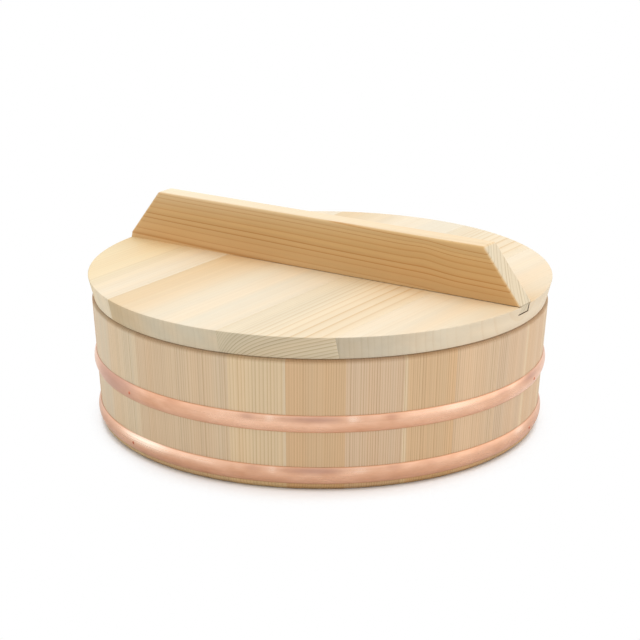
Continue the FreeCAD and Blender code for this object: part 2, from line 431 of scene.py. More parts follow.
def wood(name, late_tint, late_end, end_tint, pale, dark_tint):
    """Planed softwood.

    The piece's own colour is its heartwood and pale its sapwood, beyond sap_mm from the pith.
    late_tint multiplies either in latewood, or late_end on cut ends, where end_tint and the
    piece's own "ends" dull both.
    The last tint multiplies the colour wherever the mesh marks it darker: painted shade in the grip's
    groove and on its underside and tongue, and a darker foot on the staves. Further tints paint shade on
    the lid's top close to the grip and on the rim's outer edge under the lid's overhang, and darken the
    grip's sides: painted shade lower down, and more at the right end.
    """
    n = Nodes(bpy.data.materials.new(name))
    stored = n.stored("grain")["Vector"]
    seed = n.own("seed")
    ring_width = n.own("ring_mm")
    contrast = n.own("contrast")
    wander = n.own("wander")
    elsewhere = n.joined(*[n.times(seed, stride) for stride in (13.7, 31.1, 173.0)])
    place = n.vector("ADD", stored, elsewhere)
    a, b, _ = n.parts(stored)
    radius = n.vector("LENGTH", n.joined(a, b, 0.0))

    # Rings wander slowly up the trunk and vary in width from year to year.
    slow = n.times(n.noise(place, (70, 70, 420), 2.0), 9.0)
    quick = n.times(n.noise(place, (14, 14, 120), 2.0), 1.1)
    reach = n.scaled(n.plus(slow, quick), wander, radius)
    years = n.math("DIVIDE", reach, ring_width)
    drift = n.noise(n.joined(n.times(years, 0.31), seed, 0.0), (1, 1, 1), 1.5)
    years = n.scaled(drift, n.times(wander, 5.0), years)
    year = n.math("FLOOR", years)
    season = n.math("FRACT", years)
    luck = n.add("ShaderNodeTexWhiteNoise", {"Vector": n.joined(year, seed, 0.0)}, noise_dimensions="3D")
    soft = n.ramp(season, n.scaled(luck.outputs["Value"], 0.35, 0.1), 0.95, 0.0, 0.34)
    line = n.ramp(season, 0.72, 0.92, 0.0, 0.66)
    drop = n.ramp(season, 0.94, 1.0, 1.0, 0.0)
    late = n.times(n.plus(soft, line), drop)
    late = n.times(late, n.ramp(n.parts(luck.outputs["Color"])[1], 0.0, 1.0, 0.45, 1.0))
    spell = n.noise(n.joined(n.times(years, 0.17), seed, 7.0), (1, 1, 1), 1.0)
    late = n.times(late, n.scaled(spell, 1.6, 1.0))
    late = n.times(late, contrast)
    cut = n.ramp(n.stored("end_grain")["Fac"], 0.35, 0.95)
    blank = n.times(n.stored("pale")["Fac"], n.math("SUBTRACT", 1.0, cut))
    late = n.times(late, n.scaled(blank, -0.7, 1.0))

    # Colour: heartwood and sapwood, latewood, broad bands, fibres and a few short resin flecks.
    sap = n.math("SUBTRACT", n.plus(radius, quick), n.own("sap_mm"))
    sap = n.math("DIVIDE", sap, n.own("fade_mm"))
    sap = n.math("MAXIMUM", n.ramp(sap, -0.5, 0.5), n.stored("pale")["Fac"])
    base = n.mix(sap, n.add("ShaderNodeObjectInfo").outputs["Color"], pale)
    late_colour = n.mix(1.0, base, n.mix(cut, late_tint, late_end), "MULTIPLY")
    colour = n.mix(late, base, late_colour)
    bands = n.noise(place, (11, 11, 700), 2.0, 0.6)
    streaks = n.noise(place, (2.6, 2.6, 500), 2.0, 0.6)
    mottle = n.noise(place, (26, 26, 60), 3.0, 0.6)
    fibres = n.noise(place, (0.45, 0.45, 26), 3.0, 0.7)
    level = n.scaled(bands, 0.2, 1.0)
    level = n.scaled(streaks, n.times(contrast, 0.13), level)
    level = n.scaled(mottle, 0.06, level)
    level = n.scaled(fibres, 0.1, level)
    flecks = n.ramp(n.noise(place, (0.5, 0.5, 4.5), 1.0), 0.27, 0.34)
    level = n.scaled(flecks, -0.16, level)
    colour = n.mix(1.0, colour, n.grey(level), "MULTIPLY")
    warmth = n.times(n.noise(place, (19, 19, 500), 2.0, 0.5), 0.16)
    warmth = n.joined(n.plus(1.0, warmth), 1.0, n.math("SUBTRACT", 1.0, warmth))
    colour = n.mix(1.0, colour, warmth, "MULTIPLY")

    # Cut ends are duller, darker and coarser than planed sides.
    cells = n.noise(place, (0.28, 0.28, 3.0), 2.0, 0.8)
    dulled = n.mix(1.0, n.grey(n.own("ends")), end_tint, "MULTIPLY")
    colour = n.mix(cut, colour, n.mix(1.0, colour, dulled, "MULTIPLY"))
    colour = n.mix(1.0, colour, n.grey(n.scaled(n.times(cells, cut), 0.18, 1.0)),
                   "MULTIPLY")
    # Tints laid on where the mesh asks: painted shade in gaps, under the grip, on the lid beside it, on
    # the grip's lower sides and round the rim under the lid; and the staves' darker foot.
    for layer, tint in (("grime", dark_tint), ("handled", GRIP_SHADE_TINT), ("rim", RIM_SHADE_TINT)):
        cover = n.mix(n.stored(layer)["Fac"], (1, 1, 1, 1), tint)
        colour = n.mix(1.0, colour, cover, "MULTIPLY")

    rough = n.scaled(fibres, 0.25, 0.6)
    rough = n.scaled(late, -0.08, rough)
    rough = n.scaled(cut, 0.12, rough)
    height = n.plus(n.times(fibres, 0.8), n.times(late, 0.35))
    height = n.plus(height, n.times(n.times(cells, cut), 0.8))
    bump = n.add("ShaderNodeBump", {"Strength": 0.5, "Distance": 0.05 * MM, "Height": height})
    return n.finish(**{
        "Base Color": colour, "Roughness": rough, "Specular IOR Level": 0.3,
        "Normal": bump.outputs[0],
    })


# --- Copper ---
# Painted highlight colour for the bright marks on the hoops.
PAINTED_HIGHLIGHT = rgba(250, 226, 206)
# Colour of the dull marks: partly fingermarks, partly painted reflection of darker surroundings.
SMUDGE_AND_REFLECTION = rgba(184, 146, 132)


def copper(name, fresh, worn, rough=0.26):
    """Rolled copper, drawn along its length, with soft tarnishing, smudges and painted highlights, and
    edges darker partly from tarnishing and partly as painted shade.

    Its grain is the length along the strip, the width across it and the depth. The stored
    "band" value runs from -1 at the strip's lower edge to 1 at its upper edge, and a second
    stored value from -1 where a highlight is painted on to 1 where the strip is dull, partly
    fingered and partly painted with the reflection of darker surroundings. The piece's own
    "age" says how far it has tarnished and darkened all over.
    """
    n = Nodes(bpy.data.materials.new(name))
    place = n.stored("grain")["Vector"]
    band = n.stored("band")["Fac"]
    cloud = n.noise(place, (70, 30, 30), 2.0, 0.5)
    blotch = n.noise(place, (16, 7, 7), 3.0, 0.6)
    smudge = n.stored("smudge")["Fac"]
    drawn = n.noise(place, (30, 0.9, 0.9), 2.0, 0.6)
    tarnish_and_shade = n.scaled(n.scaled(blotch, 0.6, cloud), 1.6, n.own("age"))
    # Painted reflection of the shaded floor near the tub: a little darker towards the lower edge.
    tarnish_and_shade = n.plus(tarnish_and_shade, n.ramp(band, -0.9, 0.3, 0.06, 0.0))
    tarnish_and_shade = n.scaled(smudge, 0.55, tarnish_and_shade)
    # Both edges darker: partly tarnishing, partly painted shade along the seams with the wood.
    tarnish_and_shade = n.math("MAXIMUM", tarnish_and_shade, n.ramp(n.math("ABSOLUTE", band), 0.84, 1.0, 0.0, 1.2))
    tarnish_and_shade = n.add("ShaderNodeClamp", {"Value": tarnish_and_shade, "Min": 0.0, "Max": 1.2}).outputs[0]
    colour = n.mix(tarnish_and_shade, fresh, worn)
    # Dull marks: partly fingermarks, partly painted reflection of darker surroundings.
    colour = n.mix(n.ramp(smudge, 0.0, 1.2, 0.0, 0.65), colour, SMUDGE_AND_REFLECTION)
    # Painted highlight: where the stored marks are bright, the colour goes towards a near-white glint.
    rubbed = n.times(smudge, n.scaled(drawn, -1.5, -1.0))
    colour = n.mix(n.ramp(rubbed, 0.0, 1.0), colour, PAINTED_HIGHLIGHT)
    colour = n.mix(1.0, colour, n.grey(n.scaled(drawn, 0.16, 1.0)), "MULTIPLY")
    roughness = n.scaled(tarnish_and_shade, 0.10, rough)
    roughness = n.scaled(drawn, 0.12, roughness)
    height = n.plus(n.times(drawn, 0.12), blotch)
    bump = n.add("ShaderNodeBump", {"Strength": 0.3, "Distance": 0.1 * MM, "Height": height})
    return n.finish(**{
        "Base Color": colour, "Metallic": 1.0, "Roughness": roughness, "Normal": bump.outputs[0],
    })


SIDE_WOOD = wood("stave_wood", (0.70, 0.60, 0.47, 1.0), END_LATE, (0.84, 0.82, 0.78, 1.0),
                 rgba(214, 191, 158), STAVE_FOOT_TINT)
BOARD_WOOD = wood("board_wood", (0.85, 0.72, 0.55, 1.0), (0.56, 0.50, 0.40, 1.0),
                  (0.78, 0.765, 0.72, 1.0), rgba(221, 207, 183), GAP_SHADE_TINT)
GRIP_WOOD = wood("grip_wood", (0.75, 0.54, 0.32, 1.0), (0.60, 0.54, 0.43, 1.0),
                 (0.80, 0.81, 0.80, 1.0), rgba(230, 212, 183), GAP_SHADE_TINT)
PEG_WOOD = wood("bamboo", (0.80, 0.70, 0.52, 1.0), END_LATE, (0.85, 0.82, 0.76, 1.0),
                rgba(226, 206, 160), GAP_SHADE_TINT)
HOOP_COPPER = copper("hoop_copper", rgba(232, 189, 161), rgba(201, 148, 114))
NAIL_COPPER = copper("nail_copper", rgba(206, 128, 98), rgba(160, 84, 62), rough=0.42)


# --- Staves ---
STAVE_STEPS = 12
NO_SAP_RADIUS = 1e6      # a sapwood radius that no piece reaches
JOINT_EASE = 0.07      # the arris taken off each stave at its joints
FOOT_DARK_TOP = 13.0       # the foot is darker up to here, behind the lower hoop
FOOT_DARK_FADE = 5.0
RIM_SHADE_DEPTH = 3.4         # painted shade under the lid's overhang reaches this far down the rim's outer edge

TINTS = {
    "grey": rgba(209, 192, 165),
    "cream": rgba(211, 189, 157),
    "straw": rgba(214, 188, 151),
    "beige": rgba(206, 181, 149),
    "pink": rgba(206, 178, 147),
    "gold": rgba(206, 173, 134),
    "peach": rgba(210, 180, 146),
}
NO_SAP = 0.0
# Each stave, counter-clockwise from +X: its tint, how many millimetres apart its rings lie,
# and how wide a strip of sapwood it has: left of its counter-clockwise joint if positive,
# right of its clockwise joint if negative.
STAVE_LOOKS = [
    ("peach", 1.9, 3.0), ("beige", 1.6, NO_SAP), ("pink", 1.8, -3.5), ("cream", 2.2, NO_SAP),
    ("peach", 1.7, NO_SAP), ("beige", 1.6, 4.0), ("gold", 1.7, NO_SAP), ("grey", 1.8, NO_SAP),
    ("pink", 1.7, -3.0), ("beige", 1.6, NO_SAP), ("cream", 2.5, 5.0), ("peach", 1.5, NO_SAP),
    ("gold", 1.8, NO_SAP), ("pink", 1.7, NO_SAP), ("beige", 1.9, -4.0), ("peach", 1.7, NO_SAP),
    ("grey", 1.8, NO_SAP), ("cream", 1.7, 5.0), ("beige", 1.6, NO_SAP), ("beige", 2.0, NO_SAP),
    ("straw", 2.5, 2.0), ("gold", 1.75, NO_SAP), ("pink", 1.8, NO_SAP), ("gold", 1.75, -3.0),
    ("peach", 1.9, NO_SAP), ("pink", 2.0, 4.0),
]


def wall_section():
    """The stave's outline as (radius, height), counter-clockwise, with its worn edges."""
    groove_low = ring_point("bottom_board_2", BOTTOM_LOW + 1, BOTTOM_TOP - 1)[1]
    groove_radius = BOTTOM_EDGE[0] + 0.2
    corners = [
        (*FOOT_IN, 0.8),
        (*FOOT_OUT, 2.0),
        (*FOOT_CORNER, 2.0),
        (wall_radius(FOOT_DARK_TOP - FOOT_DARK_FADE), FOOT_DARK_TOP - FOOT_DARK_FADE, 0.0),
        (wall_radius(FOOT_DARK_TOP), FOOT_DARK_TOP, 0.0),
        # where the rim's painted shade starts
        (wall_radius(TUB_TOP - RIM_SHADE_DEPTH), TUB_TOP - RIM_SHADE_DEPTH, 0.0),
        (*RIM_CORNER, 1.2),
        (*RIM_OUT, 1.2),
        (*RIM_IN, 0.8),
        (*INNER_TOP, 0.8),
        (inner_radius(BOTTOM_TOP), BOTTOM_TOP, 0.3),
        (groove_radius, BOTTOM_TOP, 0.0),
        (groove_radius, groove_low, 0.0),
        (inner_radius(groove_low), groove_low, 0.3),
        (*INNER_FOOT, 0.8),
    ]
    return rounded(corners)


def stave(index, section, rng):
    node = STAVES[index]
    co = vertices_mm("stave_01")
    first = math.atan2(co[:, 1].min(), co[co[:, 1].argmin(), 0])
    start = first + index * STAVE_SWEEP
    ease = JOINT_EASE / RIM_CORNER[0]
    angles = [start, start + ease]
    angles += [start + STAVE_SWEEP * i / STAVE_STEPS for i in range(1, STAVE_STEPS)]
    angles += [start + STAVE_SWEEP - ease, start + STAVE_SWEEP]
    tight = inset(section, JOINT_EASE)
    outlines = [tight] + [section] * (len(angles) - 2) + [tight]
    ob = mesh_object(f"wall_{node}", *swept(outlines, angles))

    tint, ring, sap_strip = STAVE_LOOKS[index]
    middle = start + STAVE_SWEEP / 2
    side = rng.choice((-1, 1))
    if sap_strip != NO_SAP:
        side = -math.copysign(1, sap_strip)
    pith = Vector((side * rng.uniform(70, 170), rng.uniform(-35, 35)))
    lean = rng.uniform(-0.012, 0.012)
    half_width = STAVE_SWEEP / 2 * RIM_CORNER[0]
    bark_side = math.hypot(half_width + abs(pith.x), pith.y)
    sap_from = NO_SAP_RADIUS if sap_strip == NO_SAP else bark_side - abs(sap_strip)

    def grain_at(points):
        angle = np.arctan2(points[:, 1], points[:, 0]) - middle
        angle = (angle + math.pi) % math.tau - math.pi
        across = angle * RIM_CORNER[0] + lean * points[:, 2]
        depth = np.hypot(points[:, 0], points[:, 1]) - wall_radius(points[:, 2])
        return np.stack([across - pith.x, depth - pith.y, points[:, 2]], 1)

    def trunk_at(points):
        radius = np.hypot(points[:, 0], points[:, 1])
        lean_out = math.sin(WALL_LEAN)
        return np.stack([points[:, 0] / radius * lean_out, points[:, 1] / radius * lean_out,
                         np.full(len(points), math.cos(WALL_LEAN))], 1)

    # Darker towards the foot, behind the lower hoop.
    def foot_dark_at(points, normals):
        return np.clip((FOOT_DARK_TOP - points[:, 2]) / FOOT_DARK_FADE, 0, 1)

    # Painted shade on the outside of the rim, under the lid's overhang: full at the top, fading downwards.
    def rim_shade_at(points, normals):
        radius = np.hypot(points[:, 0], points[:, 1])
        outward = (points[:, 0] * normals[:, 0] + points[:, 1] * normals[:, 1]) / radius
        return np.clip((points[:, 2] - TUB_TOP) / RIM_SHADE_DEPTH + 1, 0, 1) * (outward > 0.3)

    set_grain(ob, grain_at, trunk_at, grime=foot_dark_at, rim=rim_shade_at)
    ob.color = TINTS[tint]
    dress(ob, "tub", [node], "stave_wood", SIDE_WOOD, seed=index + 1, ring_mm=ring,
          contrast=rng.uniform(0.75, 1.1), sap_mm=sap_from, fade_mm=2.4, wander=0.35, ends=1.0)


def staves():
    rng = random.Random(7)
    section = wall_section()
    for index in range(len(STAVES)):
        stave(index, section, rng)


# --- Hoops ---
HOOP_STEPS = 540
HOOP_POINTS = 14
HOOP_EDGE = 0.4
HOOP_WAVE = 0.06         # the face stays this far inside the CAD's, so that it can wander
WAVE_HEIGHT = 0.024      # how far each of the waves left by rolling and hammering lifts it
WAVES = 14
HOOP_JOINT = math.radians(137.0)
FRONT = math.radians(-56.7)
HOOP_JOINT_GAP = 0.15
# Marks on each hoop: degrees round from the front, counter-clockwise; half their length in
# degrees; and how dull (1) or bright (-1) they are. Bright marks are painted highlights; dull
# marks are partly fingermarks and partly painted reflection of darker surroundings. Across the
# hoop they spread about MARK_MIDDLE, where the hoop's middle is 0 and its upper edge 1.
HOOP_MARKS = {
    "upper_hoop": [(-61, 12.0, 1.3), (-38, 3.0, 0.35), (-17, 2.0, 0.7), (-11.5, 1.5, -0.5), (-1, 8.0, 0.9),
                   (7.5, 2.0, -0.7), (17, 2.0, 0.6), (33, 6.0, -0.3), (50, 3.0, 0.6), (64, 6.0, 1.0)],
    "lower_hoop": [(-48, 9.0, -0.9), (-30, 6.0, -0.3), (-16, 2.0, 0.5), (-11, 1.5, -0.5), (-1, 8.0, 1.0),
                   (9, 3.0, -0.5), (18, 2.5, 0.5), (28, 4.0, 0.4), (45, 4.0, 0.4), (60, 3.0, -0.4)],
}
MARK_MIDDLE = 0.62
MARK_SPREAD = 0.46
LONG_MARK = math.radians(8.5)
MARK_WIDENING = 17.0     # marks longer than that are wider too, by this for each radian more


def marks(node, rng):
    """The marks of HOOP_MARKS, and scattered ones on the rest of the hoop."""
    placed = []
    for degrees, half, depth in HOOP_MARKS[node]:
        placed.append((math.radians(degrees) + FRONT, math.radians(half), depth))
    # Scattered marks too: bright ones are painted highlights, dull ones partly fingermarks and partly
    # painted reflection.
    for degrees in range(85, 280, 13):
        spot = math.radians(degrees + rng.uniform(-5, 5)) + FRONT
        placed.append((spot, math.radians(rng.uniform(1.5, 5)), rng.uniform(-0.6, 0.8)))
    return placed


def hoop(name, node, seed, age):
    """A domed strip bent round the wall, butted at the back, its face very slightly uneven."""
    low, high = box_mm(node)
    crown = ring_point(node, low.z, high.z)
    middle_z = crown[1]
    normal = Vector((math.cos(WALL_LEAN), -math.sin(WALL_LEAN)))
    along = Vector((math.sin(WALL_LEAN), math.cos(WALL_LEAN)))
    half = (high.z - low.z) / 2 / math.cos(WALL_LEAN)
    centre = Vector((wall_radius(middle_z), middle_z))
    rise = (Vector(crown) - centre).dot(normal)
    rng = random.Random(seed)
    waves = []
    for _ in range(WAVES):
        waves.append((rng.randint(2, 40), rng.uniform(0, math.tau), 2.2 * rng.uniform(-1, 1)))
    gap = HOOP_JOINT_GAP / crown[0]
    angles = [HOOP_JOINT + gap / 2 + (math.tau - gap) * i / HOOP_STEPS for i in range(HOOP_STEPS + 1)]
    outlines = []
    for angle in angles:
        outline = [centre - along * (half - 0.15), centre - along * half + normal * 0.15]
        for i in range(HOOP_POINTS + 1):
            t = -1 + 2 * i / HOOP_POINTS
            dome = HOOP_EDGE + (rise - HOOP_WAVE - HOOP_EDGE) * (1 - t * t)
            wave = sum(math.sin(k * angle + phase + tilt * t) / math.sqrt(k) for k, phase, tilt in waves)
            dome += WAVE_HEIGHT * wave * (1 - t * t)
            outline.append(centre + along * (half - 0.12) * t + normal * dome)
        outline += [centre + along * half + normal * 0.15, centre + along * (half - 0.15)]
        outlines.append([tuple(p) for p in outline])
    ob = mesh_object(name, *swept(outlines, angles))

    def grain_at(points):
        turned = (np.arctan2(points[:, 1], points[:, 0]) - HOOP_JOINT) % math.tau
        radius = np.hypot(points[:, 0], points[:, 1])
        return np.stack([turned * crown[0] + seed * 2000, points[:, 2], radius], 1)

    def band_at(points, normals):
        return (points[:, 2] - middle_z) / (high.z - low.z) * 2

    spots = marks(node, rng)

    # Below 0 a painted highlight; above 0 a dull mark, partly fingering and partly painted reflection.
    def smudge_and_glint_at(points, normals):
        angle = np.arctan2(points[:, 1], points[:, 0])
        up = band_at(points, normals) - MARK_MIDDLE
        total = np.zeros(len(points))
        for spot, half, depth in spots:
            off = (angle - spot + math.pi) % math.tau - math.pi
            spread = MARK_SPREAD + max(0.0, half - LONG_MARK) * MARK_WIDENING
            total += depth * np.exp(-(off / half) ** 2 - (up / spread) ** 2)
        return total

    set_grain(ob, grain_at, lambda points: np.zeros_like(points), band=band_at, smudge=smudge_and_glint_at)
    dress(ob, "tub", [node], "hoop_copper", HOOP_COPPER, age=age)


# --- Nails ---
def nail_places(node):
    """(angle, height, radius) of the outermost point of each nail in a CAD node."""
    co = vertices_mm(node)
    angle = np.degrees(np.arctan2(co[:, 1], co[:, 0])) % 360
    places = []
    for group in sorted(set((angle // 30).astype(int))):
        near = co[np.abs((angle - (group * 30 + 15) + 180) % 360 - 180) < 16]
        if len(near) == 0:
            continue
        tip = near[np.hypot(near[:, 0], near[:, 1]).argmax()]
        places.append((math.atan2(tip[1], tip[0]), float(tip[2]), float(math.hypot(tip[0], tip[1]))))
    return places


# The nail's outline as (radius, distance out from its tip), from the head's middle to the point.
NAIL_PROFILE = [
    (0.0, 0.0), (0.35, -0.02), (0.7, -0.1), (0.98, -0.26), (1.14, -0.44), (1.18, -0.55),
    (1.1, -0.62), (0.55, -0.66), (0.55, -7.0), (0.3, -8.0), (0.0, -8.4),
]
NAIL_STEPS = 28
NAIL_DOME = 0.1
NAIL_DISH = 0.09


def nails(name, node, seed):
    """Domed copper nails, each struck a little off true, so that its head is dished on one side."""
    rng = random.Random(seed)
    verts = []
    faces = []
    for angle, z, reach in nail_places(node):
        outward = Vector((math.cos(angle) * math.cos(WALL_LEAN), math.sin(angle) * math.cos(WALL_LEAN),
                          -math.sin(WALL_LEAN)))
        side = Vector((-math.sin(angle), math.cos(angle), 0))
        up = outward.cross(side)
        tip = Vector((math.cos(angle) * reach, math.sin(angle) * reach, z))
        struck = rng.uniform(0, math.tau)
        first = len(verts)
        verts.append(tip - outward * NAIL_DOME)
        for radius, drop in NAIL_PROFILE[1:-1]:
            for i in range(NAIL_STEPS):
                turn = math.tau * i / NAIL_STEPS
                dish = NAIL_DISH * math.cos(turn - struck) * min(radius, 0.9) if drop > -0.5 else 0.0
                out = 1 + 0.05 * math.sin(2 * turn + struck) + 0.03 * math.sin(5 * turn)
                point = tip + outward * (drop - NAIL_DOME * (1 - radius) - abs(dish))
                point += side * (radius * out * math.cos(turn)) + up * (radius * out * math.sin(turn))
                verts.append(point)
        verts.append(tip + outward * NAIL_PROFILE[-1][1])
        last = len(verts) - 1
        rows = len(NAIL_PROFILE) - 2
        for i in range(NAIL_STEPS):
            j = (i + 1) % NAIL_STEPS
            faces.append((first, first + 1 + i, first + 1 + j))
            for row in range(rows - 1):
                here = first + 1 + row * NAIL_STEPS
                faces.append((here + i, here + NAIL_STEPS + i, here + NAIL_STEPS + j, here + j))
            end = first + 1 + (rows - 1) * NAIL_STEPS
            faces.append((end + i, last, end + j))
    ob = mesh_object(name, verts, faces)
    set_grain(ob, lambda points: points * 6.0, lambda points: np.zeros_like(points))
    dress(ob, "tub", [node], "nail_copper", NAIL_COPPER, age=0.3)


# --- Boards ---
DISC_STEPS = 360
BOARD_EASE = 0.08
BOARD_SCORES = 24
# Cuts across the lid's top that carry the painted shade beside the grip.
GRIP_SHADE_SCORES = (9.5, 13, 18, 24, 32, 44, 62, 90)   # distances from the X axis
GRIP_SHADE_REACH = 26.0    # how far from the grip the painted shade fades to a third
LID_SLIT = 0.35         # the lid rests on a few high spots, and stands this clear elsewhere
GROOVE_REACH = 9.0      # the grip's groove lies this close to the X axis


def board_grain(ob, rings_at, lean=0.0, **extra):
    """Grain along Y. rings_at gives, for (x, z) places, their two distances from the pith."""
    def grain_at(points):
        a, b = rings_at(points[:, 0] + lean * points[:, 1], points[:, 2])
        return np.stack([a, b, points[:, 1]], 1)

    def trunk_at(points):
        return np.tile((0.0, 1.0, 0.0), (len(points), 1))

    set_grain(ob, grain_at, trunk_at, **extra)


def round_pith(pith_x, pith_z):
    """Plain round rings about a pith."""
    def rings_at(x, z):
        return x - pith_x, z - pith_z
    return rings_at


def swept_rings(joint, top):
    """Rings that stand steep at the joint and lean over, ever flatter, away from it."""
    def rings_at(x, z):
        v = x - joint
        climbed = 0.24 * v - 20.8 * np.exp(-v / 16)
        return z - top - climbed + 80, np.zeros_like(x)
    return rings_at


def boards(disc, joints, names, groove=None):
    """The round board sawn along its joints, with hairline arrises and the grip's groove."""
    edges = [-400.0, *joints, 400.0]
    pieces = []
    for name, left, right in zip(names, edges, edges[1:]):
        piece = linked(name, disc.data.copy())
        cutter = slab(left, right, 400.0, -10.0, 400.0)
        boolean(piece, cutter, "INTERSECT")
        discard(cutter)
        if groove is not None:
            boolean(piece, groove, "DIFFERENCE")
        pieces.append(eased(piece, BOARD_EASE))
    discard(disc)
    return pieces


def lid_looks():
    """For each lid board: colour, where its rings lie, and the values that its wood reads."""
    # The "ends" values are partly each board's own end-grain tone and partly painted light round the lid's
    # edge: above 1 they lift the left boards' ends, where less light falls, and below 1 they darken the
    # right board's end, where more falls.
    return [
        (rgba(223, 204, 167), round_pith(-330.0, LID_TOP - 20),
         dict(ring_mm=3.4, contrast=0.35, sap_mm=222, fade_mm=40, wander=0.5, ends=1.24)),
        (rgba(211, 188, 152), round_pith(-420.0, LID_TOP + 30),
         dict(ring_mm=4.0, contrast=0.14, sap_mm=380, fade_mm=64, wander=0.5, ends=1.03)),
        (rgba(219, 204, 177), swept_rings(LID_JOINTS[1], LID_TOP),
         dict(ring_mm=2.5, contrast=0.85, sap_mm=NO_SAP_RADIUS, fade_mm=1, wander=0.15, ends=1.04)),
        (rgba(220, 203, 176), round_pith(500.0, LID_TOP - 60),
         dict(ring_mm=3.0, contrast=0.22, sap_mm=370, fade_mm=40, wander=0.4, ends=0.73)),
    ]


def bottom_looks():
    """For each bottom board: colour, where its rings lie, ring spacing and contrast."""
    return [
        (rgba(222, 200, 164), round_pith(-190.0, BOTTOM_TOP + 60), 2.8, 0.6),
        (rgba(226, 205, 170), round_pith(-20.0, BOTTOM_TOP - 50), 3.0, 0.5),
        (rgba(220, 197, 161), round_pith(60.0, BOTTOM_TOP + 80), 2.6, 0.6),
        (rgba(225, 204, 167), round_pith(190.0, BOTTOM_TOP + 40), 2.4, 0.55),
    ]


def groove_shade(points, normals):
    """Painted shade: 1 on the floor and walls of the grip's groove, which stay dark as shade falls there.
    """
    inside = (np.abs(points[:, 1]) < GROOVE_REACH) & (points[:, 2] < LID_TOP - 0.2)
    inside &= points[:, 2] > LID_LOW + 2
    outward = (points[:, 0] * normals[:, 0] + points[:, 1] * normals[:, 1]) / LID_TOP_RADIUS
    return (inside & (outward < 0.5)).astype(float)


def grip_shade_at(points, normals):
    """Painted shade on the lid's top beside the grip: most close to the grip."""
    away = np.abs(points[:, 1]) - GRIP_HIGH.y
    return np.exp(-np.maximum(away, 0) / GRIP_SHADE_REACH) * (normals[:, 2] > 0.5)


def lid_boards():
    outline = [(0, LID_LOW + LID_SLIT)] + lid_edge() + [(0, LID_TOP)]
    disc = turned_disc("lid_disc", outline, DISC_STEPS)
    groove = bar_along_x(groove_section(), lambda y, z: 400.0)
    names = [f"plank_{n}" for n in LID_BOARDS]
    for i, piece in enumerate(boards(disc, LID_JOINTS, names, groove)):
        low, high = box_mm(LID_BOARDS[i])
        stride = (high.x - low.x) / BOARD_SCORES
        scored(piece, 0, [low.x + stride * step for step in range(1, BOARD_SCORES)])
        scored(piece, 1, [side * place for side in (-1, 1) for place in GRIP_SHADE_SCORES])
        colour, rings_at, values = lid_looks()[i]
        board_grain(piece, rings_at, lean=0.01 * (-1) ** i, grime=groove_shade, handled=grip_shade_at)
        piece.color = colour
        dress(piece, "lid", [LID_BOARDS[i]], "lid_wood", BOARD_WOOD, seed=40 + i, **values)
    discard(groove)


def lid_edge():
    """The lid's leaning edge with its rounded arrises, from the underside up."""
    corners = [
        (LID_UNDER_RADIUS - 30, LID_LOW + LID_SLIT, 0.0),
        (LID_UNDER_RADIUS, LID_LOW + LID_SLIT, 0.6),
        (LID_TOP_RADIUS, LID_TOP, 0.7),
        (LID_TOP_RADIUS - 30, LID_TOP, 0.0),
    ]
    return rounded(corners, steps=4)[1:-1]


def bottom_boards():
    low = ring_point("bottom_board_2", BOTTOM_LOW + 1, BOTTOM_TOP - 1)[1]
    outline = [
        (0, BOTTOM_LOW),
        (BOTTOM_UNDER[0], BOTTOM_LOW),
        (BOTTOM_UNDER[0], low),
        (BOTTOM_EDGE[0], low),
        (BOTTOM_EDGE[0], BOTTOM_TOP),
        (0, BOTTOM_TOP),
    ]
    disc = turned_disc("bottom_disc", outline, DISC_STEPS)
    names = [f"plank_{n}" for n in BOTTOM_BOARDS]
    for i, piece in enumerate(boards(disc, BOTTOM_JOINTS, names)):
        colour, rings_at, ring, contrast = bottom_looks()[i]
        board_grain(piece, rings_at, lean=0.012 * (-1) ** i)
        piece.color = colour
        dress(piece, "tub", [BOTTOM_BOARDS[i]], "bottom_wood", BOARD_WOOD, seed=60 + i, ring_mm=ring,
              contrast=contrast, sap_mm=NO_SAP_RADIUS, fade_mm=1, wander=0.5, ends=1.0)


# --- Grip ---
def tongue_profile():
    """(half neck, half foot, foot height) of the grip's tongue, from the CAD batten."""
    co = vertices_mm("lid_handle")
    foot = np.abs(co[co[:, 2] < GRIP_LOW.z + 0.01][:, 1]).max()
    near_top = co[(np.abs(co[:, 2] - LID_TOP) < 0.01) & (np.abs(co[:, 1]) < GRIP_HIGH.y - 0.5)]
    neck = np.abs(near_top[:, 1]).max()
    return float(neck), float(foot), GRIP_LOW.z


def groove_section():
    """The dovetail groove as (y, z). Its front wall bears on the tongue, its back wall is clear of it."""
    co = vertices_mm("lid_board_2")
    inside = co[(co[:, 2] > LID_LOW + 2) & (co[:, 2] < LID_TOP - 2) & (np.abs(co[:, 1]) < 12)]
    floor = float(inside[:, 2].min())
    on_floor = inside[inside[:, 2] < floor + 0.01][:, 1]
    on_top = co[(co[:, 2] > LID_TOP - 0.01) & (np.abs(co[:, 1]) < 12)][:, 1]
    slope = (on_floor.max() - on_top.max()) / (LID_TOP - floor)
    above = 4.0  # the cutter's walls run on past the lid's top
    return [
        (float(on_top.min()) + slope * above, LID_TOP + above),
        (float(on_floor.min()), floor),
        (float(on_floor.max()), floor),
        (float(on_top.max()) - slope * above, LID_TOP + above),
    ]


def edge_radius(z):
    return LID_UNDER_RADIUS + (LID_TOP_RADIUS - LID_UNDER_RADIUS) * (z - LID_LOW) / (LID_TOP - LID_LOW)


